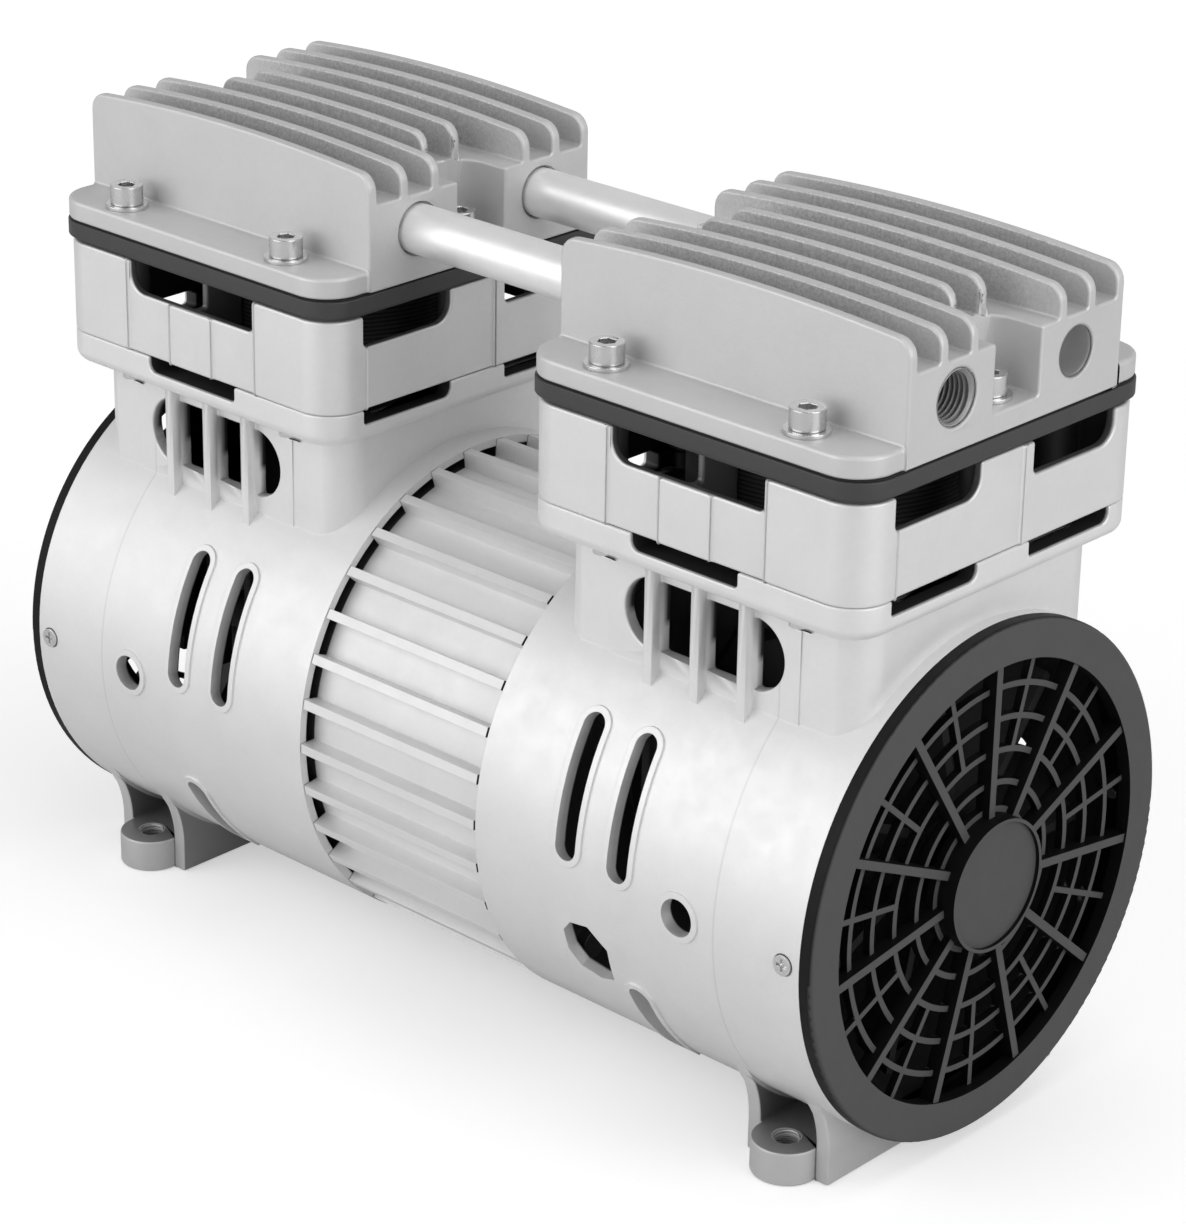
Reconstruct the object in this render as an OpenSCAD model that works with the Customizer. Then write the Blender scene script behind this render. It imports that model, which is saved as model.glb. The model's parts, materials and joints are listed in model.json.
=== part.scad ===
// Twin-cylinder oil-free air compressor pump: a double-ended motor with a
// rocking piston, a finned head and a cooling fan at each end.
// +X runs along the shaft towards the threaded outlet, +Z is up, and the
// origin is at the bottom centre, between the four feet.

/* [Layout] */
// Gap between the round crankcase and the mounting surface
case_lift = 3; // [2:0.5:7]
// Distance from the middle of the motor to each cylinder axis
cyl_x = 84; // [84:0.5:90]
// How far the crankcase's outer end lies behind the stack's
case_short = 2.8; // [0.4:0.2:3]
// Height of the crankcase flange's underside above the round crankcase
neck_rise = 10; // [9:0.5:15]

/* [Crankcase] */
// Outer radius of the round crankcase
case_r = 65; // [64:0.5:68]
// Wall of the round crankcase
case_wall = 3.4; // [2.8:0.1:4]
// Half of the neck's size along the shaft
neck_hx = 46; // [44:0.5:47]
// Half of the neck's size across the shaft
neck_hy = 44.5; // [43:0.5:46]
// Corner radius of the neck
neck_corner = 10; // [7:0.5:12]
// Wall of the neck
neck_wall = 3.5; // [2.8:0.1:4]
// Height of the flange on top of the neck
flange_h = 8.4; // [8:0.1:10]
// Thickness of the wall between the motor and the crank chamber
end_wall = 4; // [3:0.5:5]
// Width of the rim that meets the motor barrel
rim_w = 7; // [5.5:0.5:9]
// Width of a curved vent slot
slot_w = 6.4; // [5:0.2:8]
// Radius of the round side hole
side_hole_r = 4.7; // [3.5:0.1:6]

/* [Feet] */
// Distance of the foot holes from the motor's middle, along the shaft
foot_x = 114.3; // [112:0.1:116]
// Distance of the foot holes from the middle, across the shaft
foot_y = 44; // [42:0.1:46]
// Height of the foot pads
foot_h = 8.8; // [7:0.1:10]
// Radius of the foot bosses
foot_boss_r = 8.6; // [7.6:0.1:9.4]
// Wall radius of the tapped foot holes
foot_hole_r = 3; // [2.5:0.1:3.5]
// Thickness of the webs under the crankcase
foot_web = 4; // [3:0.2:5]

/* [Motor] */
// Length of the finned barrel between the crankcase rims
barrel_len = 62; // [58:0.5:64]
// Step from the round crankcase down to the barrel between its ribs
barrel_step = 4.8; // [4.4:0.1:6]
// Wall of the barrel
barrel_wall = 3.5; // [2.5:0.1:4]
// Height of the barrel's ribs
rib_h = 4.5; // [3:0.1:4.6]
// Width of the barrel's ribs
rib_w = 2.5; // [2:0.1:3.5]
// Number of ribs round the barrel
rib_n = 34; // [30:1:36]
// Length of the stator and rotor cores
core_len = 50; // [40:1:54]
// Radius of the rotor core
rotor_r = 30; // [26:0.5:32]
// Air gap between rotor and stator
air_gap = 0.5; // [0.4:0.1:0.8]
// Number of stator slots
slot_n = 12; // [12:1:16]
// Width of the stator core outside its tie bolt holes
tie_edge = 1.85; // [1.5:0.05:2.2]
// Radius of a tie bolt
tie_r = 2; // [1.5:0.1:2.2]

/* [Shaft and bearings] */
// Radius of the shaft outside the bearings
shaft_r = 6; // [5:0.5:6.5]
// Radius of the shaft in the motor bearings
journal_r = 7.5; // [7:0.5:8.5]
// Radius of the shaft in the rotor core
rotor_seat_r = 9; // [8.5:0.5:11]
// Outer radius of the motor bearings
bearing_r = 17.5; // [16:0.5:18]
// Width of the motor bearings
bearing_w = 11; // [9:0.5:12]

/* [Crank and piston] */
// Crank throw, half of the piston's stroke
throw = 7; // [5:0.5:7.5]
// Cylinder bore radius
bore_r = 31.85; // [30:0.05:32.5]
// Gap between the piston cup and the bore
cup_gap = 0.05; // [0.02:0.01:0.08]
// Wall of the cylinder liner
liner_wall = 2.6; // [2:0.1:3]
// Length of the cylinder liner
liner_len = 42; // [36:0.5:46]
// Inner radius of the crank bearing
crank_bearing_in = 15; // [14.9:0.1:16]
// Outer radius of the crank bearing
crank_bearing_out = 23.5; // [22.5:0.5:24]
// Width of the crank bearing
crank_bearing_w = 9; // [8:0.5:10]
// Wall of the connecting rod's big end
rod_wall = 5; // [4:0.5:6]
// Thickness of the piston disc
piston_h = 8; // [6:0.5:9]
// Radius of the balance weight
weight_r = 38; // [34:0.5:42]

/* [Cylinder stack] */
// Half of the stack's size along the shaft
stack_hx = 52; // [51.5:0.1:53]
// Half of the stack's size across the shaft
stack_hy = 53; // [52.5:0.1:54]
// Corner radius of the stack
stack_corner = 10; // [8:0.5:12]
// How far the jacket stands in from the valve plate's edge
jacket_inset = 0.8; // [0.4:0.1:1.2]
// Height of the cylinder jacket
jacket_h = 24.5; // [23:0.5:28]
// Wall of the cylinder jacket
jacket_wall = 3; // [2.5:0.1:3.5]
// Thickness of the valve plate
valve_t = 5.5; // [5:0.1:7]
// Thickness of the head gasket
gasket_t = 0.5; // [0.4:0.1:1]
// Depth of the windows in the jacket's top rim
window_h = 8.3; // [6:0.1:10]
// Depth of the notches in the flange's rim
notch_h = 4; // [3:0.1:4.2]

/* [Cylinder head] */
// Thickness of the head's base plate
plate_t = 5.4; // [4.5:0.1:7]
// Height of the port bosses above the base plate
boss_h = 16.6; // [16:0.1:19]
// Height of the fins' arched top above the base plate, at its middle
fin_h = 26.6; // [24:0.1:32]
// Radius of the fins' arched top
fin_arch_r = 560; // [300:10:900]
// Thickness of a fin
fin_t = 2.8; // [2:0.1:3.4]
// Distance between fins
fin_pitch = 10.7; // [10.4:0.05:11]
// Height of the ports above the base plate
port_rise = 7.4; // [7.2:0.1:9]
// Distance of the ports from the middle of the head
port_y = 21.7; // [20:0.1:23]
// Wall radius of the threaded port, at the thread's root
thread_r = 6.58; // [6:0.01:6.8]
// Length of the threaded port
thread_len = 14; // [12:0.5:15]
// Wall radius of the plain port
plain_r = 5.75; // [5:0.05:6.4]
// Outer radius of the transfer tubes
tube_r = 6.35; // [5.5:0.05:6.5]
// Wall of the transfer tubes
tube_wall = 1.2; // [0.8:0.1:1.5]
// Depth to which a tube enters its head
tube_depth = 9; // [7:0.5:12]

/* [Screws] */
// Distance of the side screws from the cylinder axis, along the shaft
screw_x = 30; // [28:0.5:32]
// Distance of the side screws from the cylinder axis, across the shaft
screw_y = 46.2; // [46:0.1:47]
// Distance of the end screws from the cylinder axis
end_screw_x = 44.2; // [43.5:0.1:44.5]
// Radius of a screw's shank
screw_r = 2.5; // [2:0.1:2.8]
// Radius of a screw's head
screw_head_r = 4.2; // [3.8:0.1:4.6]
// Height of a screw's head
screw_head_h = 5; // [4:0.1:6]
// Radius of a washer
washer_r = 5.5; // [5:0.1:5.8]
// Thickness of a washer
washer_t = 1; // [0.8:0.1:1.4]

/* [Fans and guards] */
// Thickness of the guard's outer ring
ring_t = 3.6; // [3:0.1:5]
// Width of the guard's outer ring
ring_w = 9.7; // [8:0.1:12]
// Number of main spokes
spoke_n = 11; // [9:1:13]
// Width of a main spoke
spoke_w = 2.2; // [1.6:0.1:3]
// Depth of a main spoke
spoke_d = 4; // [3:0.1:5]
// Distance between the guard's arcs
arc_pitch = 8.1; // [7.6:0.1:8.2]
// Width of an arc
arc_w = 1.5; // [1.2:0.1:2.2]
// Radius of the guard's hub cap
hub_r = 16.7; // [15:0.1:17.5]
// Gap between the fan and the crankcase around it
fan_gap = 8.6; // [6:0.2:12]
// Number of fan blades
blade_n = 7; // [5:1:9]
// Pitch angle of the blades
blade_pitch = 32; // [25:1:38]

/* [Hidden] */
$fn = 96;
eps = 0.01;
fit_gap = 0.1;
hole_gap = 0.25;

// Crankcase
shaft_z = case_lift + case_r;
flange_rise = case_r + neck_rise;
rim_x = barrel_len / 2;
wall_x = rim_x + rim_w;
case_end = cyl_x + stack_hx - case_short;
case_in_r = case_r - case_wall;
barrel_r = case_r - barrel_step;
rim_gap = 2.4;
rim_in_r = barrel_r + rim_gap;
flange_z = shaft_z + flange_rise;
flange_soft = 3;
deck_t = 4;
deck_z = flange_z + deck_t;
deck_in_y = 39.7;
jacket_z = flange_z + flange_h;
neck_band_hx = 29.3;
neck_band_d = 0.3;
neck_rib_pitch = 14.4;
neck_rib_w = 2.6;
neck_rib_d = 2.9;
neck_window_w = 49;
neck_window_h = 18;
neck_window_drop = 14;
neck_window_z = flange_z - neck_window_drop;
vent_back = 23;
vent_gap = 16.5;
vent_xs = [cyl_x - vent_back, cyl_x - vent_back + vent_gap];
vent_angle = 18;
vent_len = 36.5;
low_slot_x = cyl_x - 5;
low_slot_angle = -39;
low_slot_len = 31;
side_hole_x = cyl_x + 12.5;
bead_h = 0.5;
bead_w = 1.6;
lead_x = cyl_x - 19;
lead_angle = -20;
lead_cut_in = 12;
lead_cut_out = 8;
air_spoke_w = 18;

// Feet: the webs' edges run in an arc that just touches the round case
web_in_x = foot_x - foot_boss_r - foot_web;
web_out_x = foot_x + foot_boss_r;
web_hy = foot_y - 0.5;
web_drop = shaft_z - foot_h;
web_flare_r = (pow(web_hy, 2) + pow(web_drop, 2) - pow(case_r, 2)) / (2 * (case_r - web_hy));
web_top_y = (web_hy + web_flare_r) * case_r / (case_r + web_flare_r);
web_top_z = shaft_z - web_drop * case_r / (case_r + web_flare_r);
pad_len = 16;
mouth_cut = 0.6;

// Motor and shaft
rib_tick = 0.8;
slot_w_core = 7;
slot_mouth = 2.5;
stator_r = barrel_r - barrel_wall;
tie_ring_r = stator_r - tie_edge - tie_r - hole_gap;
coil_in = 4;
coil_in_r = rotor_r + coil_in;
coil_edge = 4;
coil_out_r = tie_ring_r - tie_r - coil_edge;
coil_end_gap = 2;
end_ring_w = 5;
tie_head_r = 3.6;
tie_head_h = 3;
tie_len = 2 * (wall_x + end_wall);
hub_wall = 4;
bearing_x = wall_x + 2;
bearing_lip = 2;
race_share = 0.24;
ball_gap = 0.05;

// Crank, rod and piston
weight_t = 8;
sleeve_x0 = bearing_x + bearing_w + bearing_lip + 2;
sleeve_r = shaft_r + 7;
journal_stop = cyl_x - crank_bearing_w / 2 - 0.8;
set_screw_r = 2;
set_screw_len = 8;
set_screw_key = 2.5;
rod_t = crank_bearing_w + 1;
rod_w = 14;
rod_web_t = 3.2;
rod_edge = 3;
big_end_r = crank_bearing_out + rod_wall;
liner_out_r = bore_r + liner_wall;
collar_r = liner_out_r + 3;
collar_t = 3;
valve_z = jacket_z + jacket_h;
crown_gap = 0.6;
crown_z = valve_z - crown_gap - throw;
retainer_t = 2.8;
retainer_screw_r = 2.5;
retainer_sink = 2.4;
cup_t = 1.2;
piston_top = crown_z - retainer_t - cup_t;
piston_gap = 1;

// Jacket and valve plate
column_r = 5.4;
column_web = 6;
jacket_rib_w = 2;
side_window_w = 46;
end_window_w = 30.5;
end_window_y = 24.8;
window_r_big = 5;
window_r_small = 1.8;
notch_side_w = 32.5;
notch_r_big = 2.5;
notch_r_small = 1.2;
notch_deep = 14;
panel_out = 24;
panel_in = 8;
panel_end = 39;
panel_d = 0.45;
seal_in = 0.45;
seal_t = 1.4;
valve_step = 1.6;
valve_step_h = 1.3;
valve_hole_r = 2;
valve_hole_x = 6;
port_row_y = 18;
reed_w = 20;
reed_len = 20;
reed_cover = 4;
reed_t = 0.3;
reed_sink = 0.1;
stop_t = 1.2;
stop_foot = 6;
stop_tilt = 6;
stop_screw_r = 2.2;
stop_screw_h = 1.8;
gasket_z = valve_z + valve_t;
gasket_in = 0.6;
plate_z = gasket_z + gasket_t;

// Head
plate_top = plate_z + plate_t;
port_z = plate_top + port_rise;
head_hx = stack_hx;
head_in_x = cyl_x - head_hx;
boss_proud = 0.5;
plate_soft = 1;
block_hy = 3.5 * fin_pitch + fin_t / 2;
chamber_hx = head_hx - 19;
chamber_in_y = 11;
chamber_out_y = block_hy - 3.5;
chamber_roof = 3.5;
passage_r = 4.5;
pocket_r = 8.3;
plain_len = 10;
socket_mouth = 0.9;
fin_half_len = head_hx;
fin_mid_len = end_screw_x - pocket_r + 1.5;
fin_corner = 4.6;
fin_corner_n = 5;
fin_arch_n = 16;
seal_depth = 4;
seal_w = 1.8;
seal_h = 1;
tube_end_gap = 0.5;
screw_tip = 2;
end_screw_stop = 1;
tip_relief = 0.8;
hex_share = 0.56;
hex_depth = 0.55;

// Fans and guards
fan_x = cyl_x + rod_t / 2 + 15;
fan_len = 20;
fan_hub_r = 14;
blade_t = 2;
fan_screw_r = 1.5;
fan_screw_in = 4;
ring_in_r = case_r - ring_w;
fan_r = case_in_r - fan_gap;
shaft_end = fan_x + fan_len - 2;
guard_back = case_end;
guard_front = case_end + ring_t;
guard_lip = 7;
guard_lip_t = 2;
guard_soft = 1;
guard_screw_x = case_end - 4.7;
guard_screw_r = 1.5;
guard_screw_len = 5;
guard_head_r = 2.5;
guard_head_h = 1.5;
guard_head_sink = 0.9;
spoke_front_gap = 0.6;
spoke_back = guard_front - spoke_front_gap - spoke_d;
arc_d = 2;
arc_first_r = 24.2;
hub_rise = 2.4;
hub_dish = 1;
hub_rim = 0.9;
hub_base = 1.5;

screw_spots = [for (sx = [-1, 1], sy = [-1, 1]) [sx * screw_x, sy * screw_y]];
end_spots = [for (sx = [-1, 1]) [sx * end_screw_x, 0]];
all_spots = concat(screw_spots, end_spots);
die_cast = [0.83, 0.83, 0.85];
head_cast = [0.72, 0.72, 0.74];
steel = [0.62, 0.63, 0.66];
bright = [0.85, 0.86, 0.88];
dark = [0.22, 0.22, 0.24];
black = [0.08, 0.08, 0.09];
copper = [0.72, 0.4, 0.2];
ptfe = [0.3, 0.24, 0.18];
rubber = [0.12, 0.12, 0.12];

// Shared shapes

// A rod or tube along X between two places
module along_x(x0, x1, r, hole = 0) {
    translate([x0, 0, 0]) rotate([0, 90, 0]) difference() {
        cylinder(r = r, h = x1 - x0);
        if (hole > 0) translate([0, 0, -1]) cylinder(r = hole, h = x1 - x0 + 2);
    }
}

module ring(r_out, r_in, h) {
    difference() {
        cylinder(r = r_out, h = h);
        translate([0, 0, -1]) cylinder(r = r_in, h = h + 2);
    }
}

// A rectangle with round corners
module round_rect(hx, hy, r) {
    square([2 * hx, 2 * (hy - r)], center = true);
    square([2 * (hx - r), 2 * hy], center = true);
    for (sx = [-1, 1], sy = [-1, 1]) translate([sx * (hx - r), sy * (hy - r)]) circle(r = r);
}

module round_block(hx, hy, r, h) {
    linear_extrude(h) round_rect(hx, hy, r);
}

// The edge profile of a slab: square at one end, rounded by f at the other
module edge_profile(w, h, f) {
    square([w - f, h]);
    square([w, h - f]);
    translate([w - f, h - f]) circle(r = f);
}

// A round-cornered slab whose top edge is rounded by f
module soft_slab(hx, hy, r, h, f) {
    round_block(hx - r + eps, hy - r + eps, 1, h);
    for (sx = [-1, 1], sy = [-1, 1]) translate([sx * (hx - r), sy * (hy - r), 0])
        rotate_extrude() edge_profile(r, h, f);
    for (s = [0, 180]) rotate([0, 0, s]) {
        translate([hx - r, hy - r, 0]) rotate([90, 0, 0]) linear_extrude(2 * (hy - r)) edge_profile(r, h, f);
        translate([-(hx - r), hy - r, 0]) rotate([90, 0, 90]) linear_extrude(2 * (hx - r))
            edge_profile(r, h, f);
    }
}

// A slot outline that stands upright, with round ends
module upright_slot(len, w) {
    square([w, len - w], center = true);
    for (s = [-1, 1]) translate([0, s * (len - w) / 2]) circle(r = w / 2);
}

// Puts its children, drawn outwards from the shaft, at an angle above -Y
module at_side(x, angle) {
    translate([x, 0, shaft_z]) rotate([-angle, 0, 0]) rotate([90, 0, 0]) children();
}

module at_cylinder(z = 0) {
    translate([cyl_x, 0, z]) children();
}

// Turns its children about a vertical line
module rotate_about(x, angle) {
    translate([x, 0, 0]) rotate([0, 0, angle]) translate([-x, 0, 0]) children();
}

// The pump's second end is the first one turned end for end
module left_end() {
    rotate([0, 0, 180]) children();
}

// Its valve parts are moved without a turn, so that each tube joins chambers of one kind
module left_valves() {
    translate([-2 * cyl_x, 0, 0]) children();
}

// Crankcase

// Cuts or raises the same outline on both long sides of the crankcase
module both_sides() {
    for (side = [0, 1]) mirror([0, side, 0]) children();
}

module vent_outlines(h0, h1, grow) {
    both_sides() {
        for (x = vent_xs) at_side(x, vent_angle) translate([0, 0, h0]) linear_extrude(h1 - h0)
            upright_slot(vent_len + 2 * grow, slot_w + 2 * grow);
        at_side(low_slot_x, low_slot_angle) translate([0, 0, h0]) linear_extrude(h1 - h0)
            upright_slot(low_slot_len + 2 * grow, slot_w + 2 * grow);
        at_side(side_hole_x, 0) translate([0, 0, h0]) cylinder(r = side_hole_r + grow, h = h1 - h0);
    }
}

// Thin raised beads round the vents, following the round case
module vent_beads() {
    intersection() {
        translate([0, 0, shaft_z]) along_x(rim_x + 1, case_end - 1, case_r + bead_h);
        vent_outlines(case_r * 0.7, case_r + 5, bead_w);
    }
}

// Outlet for the motor leads, on one long side only
module lead_outlet() {
    at_side(lead_x, lead_angle) translate([0, 0, case_r - lead_cut_in])
        linear_extrude(lead_cut_in + lead_cut_out) polygon([
            [-6.8, 4], [-4, 7.4], [1.8, 8.3], [7.2, 3.4],
            [6.4, -7], [1.5, -8.9], [-4.5, -7.2], [-6.9, -2.5]
        ]);
}

module web_outline() {
    difference() {
        translate([-web_top_y, 0]) square([2 * web_top_y, web_top_z]);
        for (s = [-1, 1]) {
            translate([s * (web_hy + web_flare_r), foot_h]) circle(r = web_flare_r);
            translate([s > 0 ? web_hy : -web_hy - web_flare_r, -1]) square([web_flare_r, foot_h + 1]);
        }
    }
    translate([-web_hy, 0]) square([2 * web_hy, shaft_z / 2]);
}

module feet_shape() {
    for (x = [web_in_x, web_out_x]) translate([x, 0, 0]) rotate([90, 0, 90])
        linear_extrude(foot_web) web_outline();
    both_sides() {
        translate([foot_x, foot_y, 0]) cylinder(r = foot_boss_r, h = foot_h);
        translate([foot_x - foot_boss_r - 1, foot_y - pad_len, 0])
            cube([2 * foot_boss_r + 2, pad_len - 1, foot_h]);
    }
}

module neck_ribs() {
    both_sides() for (i = [-1, 0, 1])
        translate([cyl_x + i * neck_rib_pitch - neck_rib_w / 2, -neck_hy - neck_rib_d, case_in_r])
        cube([neck_rib_w, neck_rib_d + neck_wall, flange_z - case_in_r + 1]);
}

// The neck's corners lie a little behind its middle band
module neck_corners() {
    both_sides() for (s = [-1, 1])
        translate([cyl_x + s * neck_band_hx + (s > 0 ? 0 : -neck_hx), -neck_hy - 1, case_in_r])
        cube([neck_hx, 1 + neck_band_d, flange_z - case_in_r]);
}

module neck_windows() {
    both_sides() translate([cyl_x, 0, neck_window_z]) rotate([90, 0, 0])
        translate([0, 0, neck_hy - neck_wall - 2]) linear_extrude(neck_wall + 3) {
            square([neck_window_w - neck_window_h, neck_window_h], center = true);
            for (s = [-1, 1]) translate([s * (neck_window_w - neck_window_h) / 2, 0])
                circle(r = neck_window_h / 2);
        }
}

// The case's inside: round chamber, neck, flange recess and motor-side recess
module case_hollow() {
    translate([0, 0, shaft_z]) {
        along_x(wall_x + end_wall, case_end + 1, case_in_r);
        along_x(rim_x - 1, wall_x, rim_in_r);
    }
    at_cylinder(shaft_z) round_block(neck_hx - neck_wall, neck_hy - neck_wall, neck_corner - neck_wall,
        flange_rise);
    at_cylinder(deck_z) difference() {
        round_block(neck_hx, deck_in_y, neck_corner, flange_h);
        for (p = end_spots) translate([p[0], p[1], -1]) cylinder(r = column_r, h = flange_h + 2);
    }
    at_cylinder(flange_z - 1) cylinder(r = liner_out_r + fit_gap, h = deck_t + 2);
}

module case_solid() {
    difference() {
        union() {
            translate([0, 0, shaft_z]) along_x(rim_x, case_end, case_r);
            difference() {
                at_cylinder(shaft_z) round_block(neck_hx, neck_hy, neck_corner, flange_rise + 1);
                neck_corners();
            }
            at_cylinder(jacket_z) mirror([0, 0, 1])
                soft_slab(stack_hx - jacket_inset, stack_hy - jacket_inset, stack_corner,
                    flange_h, flange_soft);
            feet_shape();
            vent_beads();
        }
        case_hollow();
        neck_windows();
    }
    intersection() {
        neck_ribs();
        at_cylinder(shaft_z) round_block(neck_hx, neck_hy + neck_rib_d, neck_corner, flange_rise + 1);
    }
}

// Wall between motor and crank chamber, with the bearing seat and air windows
module motor_wall() {
    translate([0, 0, shaft_z]) {
        difference() {
            along_x(wall_x, wall_x + end_wall, case_in_r + 1);
            difference() {
                along_x(wall_x - 1, wall_x + end_wall + 1, tie_ring_r + 3, bearing_r + hub_wall + 3);
                for (a = [45, 135]) rotate([a, 0, 0]) translate([wall_x - 2, -case_r, -air_spoke_w / 2])
                    cube([end_wall + 4, 2 * case_r, air_spoke_w]);
            }
        }
        along_x(wall_x, bearing_x + bearing_w + bearing_lip, bearing_r + hub_wall);
    }
}

module tie_spots() {
    for (a = [45 : 90 : 315]) rotate([a, 0, 0]) translate([0, tie_ring_r, 0]) children();
}

module crankcase() {
    color(die_cast) difference() {
        union() {
            case_solid();
            motor_wall();
        }
        translate([0, 0, shaft_z]) {
            along_x(wall_x - 2, bearing_x, journal_r + 1);
            along_x(bearing_x, bearing_x + bearing_w, bearing_r);
            along_x(bearing_x, bearing_x + bearing_w + bearing_lip + 1, bearing_r - bearing_lip);
            tie_spots() along_x(wall_x - 1, wall_x + end_wall + 1, tie_r + hole_gap);
        }
        vent_outlines(case_r * 0.7, case_r + 6, 0);
        lead_outlet();
        at_cylinder(jacket_z - notch_h) flange_notches();
        at_cylinder(flange_z) {
            for (p = screw_spots) translate([p[0], p[1], -1]) cylinder(r = screw_r, h = flange_h + 2);
            for (p = screw_spots) translate([p[0], p[1], -2 * screw_tip])
                cylinder(r = screw_r + tip_relief, h = 2 * screw_tip);
            for (p = end_spots) translate([p[0], p[1], end_screw_stop]) cylinder(r = screw_r, h = flange_h);
        }
        both_sides() {
            translate([foot_x, foot_y, -1]) cylinder(r = foot_hole_r, h = foot_h + 2);
            translate([foot_x, foot_y, foot_h - mouth_cut])
                cylinder(r1 = foot_hole_r, r2 = foot_hole_r + mouth_cut, h = mouth_cut + eps);
            at_side(guard_screw_x, 0) translate([0, 0, case_in_r - 1]) {
                cylinder(r = guard_screw_r + hole_gap, h = case_wall + 2);
                translate([0, 0, case_wall + 1 - guard_head_sink])
                    cylinder(r = guard_head_r + hole_gap, h = 3);
            }
        }
    }
}

// Cylinder jacket

module window(w, h, r0, r1) {
    translate([-w / 2 + r0, 0]) square([w - r0 - r1, h]);
    translate([-w / 2, r0]) square([w / 2, h - r0]);
    translate([0, r1]) square([w / 2, h - r1]);
    translate([-w / 2 + r0, r0]) circle(r = r0);
    translate([w / 2 - r1, r1]) circle(r = r1);
}

module wall_windows(w_side, w_end, h, r0, r1, deep) {
    for (s = [0, 180]) rotate([0, 0, s]) {
        translate([0, -stack_hy + deep, 0]) rotate([90, 0, 0]) linear_extrude(deep + 2)
            window(w_side, h, r0, r1);
        for (y = [-end_window_y, end_window_y]) translate([stack_hx - deep, y, 0]) rotate([90, 0, 90])
            linear_extrude(deep + 2) window(w_end, h, r1, r0);
    }
}

module flange_notches() {
    wall_windows(notch_side_w, end_window_w, notch_h + 1, notch_r_big, notch_r_small, notch_deep);
}

module cylinder_jacket() {
    jx = stack_hx - jacket_inset;
    jy = stack_hy - jacket_inset;
    color(die_cast) at_cylinder(jacket_z) difference() {
        union() {
            difference() {
                round_block(jx, jy, stack_corner, jacket_h);
                translate([0, 0, -1]) round_block(jx - jacket_wall, jy - jacket_wall,
                    stack_corner - jacket_wall, jacket_h + 2);
                jacket_panels(jx, jy);
            }
            for (p = all_spots) translate([p[0], p[1], 0]) cylinder(r = column_r, h = jacket_h);
            for (s = [0, 180]) rotate([0, 0, s]) {
                translate([-jacket_rib_w / 2, liner_out_r + hole_gap, 0])
                    cube([jacket_rib_w, jy - jacket_wall / 2 - liner_out_r - hole_gap, jacket_h]);
                translate([end_screw_x, -column_web / 2, 0])
                    cube([jx - jacket_wall / 2 - end_screw_x, column_web, jacket_h]);
                for (x = [-screw_x, screw_x]) translate([x - column_web / 2, screw_y, 0])
                    cube([column_web, jy - jacket_wall / 2 - screw_y, jacket_h]);
            }
        }
        translate([0, 0, jacket_h - window_h]) wall_windows(side_window_w, end_window_w, window_h + 1,
            window_r_big, window_r_small, 2 * jacket_wall);
        for (p = all_spots) translate([p[0], p[1], -1]) cylinder(r = screw_r + hole_gap, h = jacket_h + 2);
    }
}

// Shallow steps between the jacket's flat panels
module jacket_panels(jx, jy) {
    for (s = [0, 180]) rotate([0, 0, s]) {
        for (x = [-panel_out, panel_in]) translate([x, -jy - 1, -1])
            cube([panel_out - panel_in, 1 + panel_d, jacket_h + 2]);
        translate([jx - panel_d, -panel_end, -1]) cube([1 + panel_d, panel_end + 6, jacket_h + 2]);
    }
}

// Cylinder, valve plate and head

module cylinder_liner() {
    color(steel) at_cylinder() {
        translate([0, 0, valve_z - liner_len]) ring(liner_out_r, bore_r, liner_len);
        translate([0, 0, deck_z]) ring(collar_r, liner_out_r - 1, collar_t);
    }
}

module liner_seal() {
    color(rubber) at_cylinder(valve_z) ring(liner_out_r - seal_in, bore_r + seal_in, seal_t);
}

module valve_plate() {
    color(dark) at_cylinder(valve_z) difference() {
        union() {
            round_block(stack_hx - valve_step, stack_hy - valve_step, stack_corner - valve_step, valve_t);
            translate([0, 0, valve_step_h])
                round_block(stack_hx, stack_hy, stack_corner, valve_t - valve_step_h);
        }
        translate([0, 0, -eps]) ring(liner_out_r - seal_in + eps, bore_r + seal_in - eps, seal_t + eps);
        for (p = all_spots) translate([p[0], p[1], -1]) cylinder(r = screw_r + hole_gap, h = valve_t + 2);
        for (s = [-1, 1], x = [-1, 1]) translate([x * valve_hole_x, s * port_row_y, -1])
            cylinder(r = valve_hole_r, h = valve_t + 2);
        translate([-reed_w / 2 - hole_gap, port_row_y + reed_cover - reed_len, -eps])
            cube([reed_w + 2 * hole_gap, reed_len + hole_gap, reed_t + reed_sink + eps]);
    }
}

// Spring strip that opens downwards, set flush into the valve plate
module intake_reed() {
    color(bright) at_cylinder(valve_z + reed_sink)
        translate([-reed_w / 2, port_row_y + reed_cover - reed_len, 0]) cube([reed_w, reed_len, reed_t]);
}

// Spring strip that opens upwards, on top of the valve plate
module exhaust_reed() {
    color(bright) at_cylinder(gasket_z)
        translate([-reed_w / 2, reed_cover - port_row_y - reed_len, 0]) cube([reed_w, reed_len, reed_t]);
}

// Bent plate that limits how far the exhaust reed opens, with its screw
module reed_stop() {
    rise = (reed_len - stop_foot) * tan(stop_tilt);
    color(steel) at_cylinder(gasket_z + reed_t) translate([0, reed_cover - port_row_y - reed_len, 0]) {
        translate([-reed_w / 2, 0, 0]) rotate([90, 0, 90]) linear_extrude(reed_w) polygon([
            [0, 0], [stop_foot, 0], [reed_len, rise],
            [reed_len, rise + stop_t], [stop_foot, stop_t], [0, stop_t]
        ]);
        translate([0, stop_foot / 2, stop_t - eps]) cylinder(r = stop_screw_r, h = stop_screw_h);
    }
}

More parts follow.
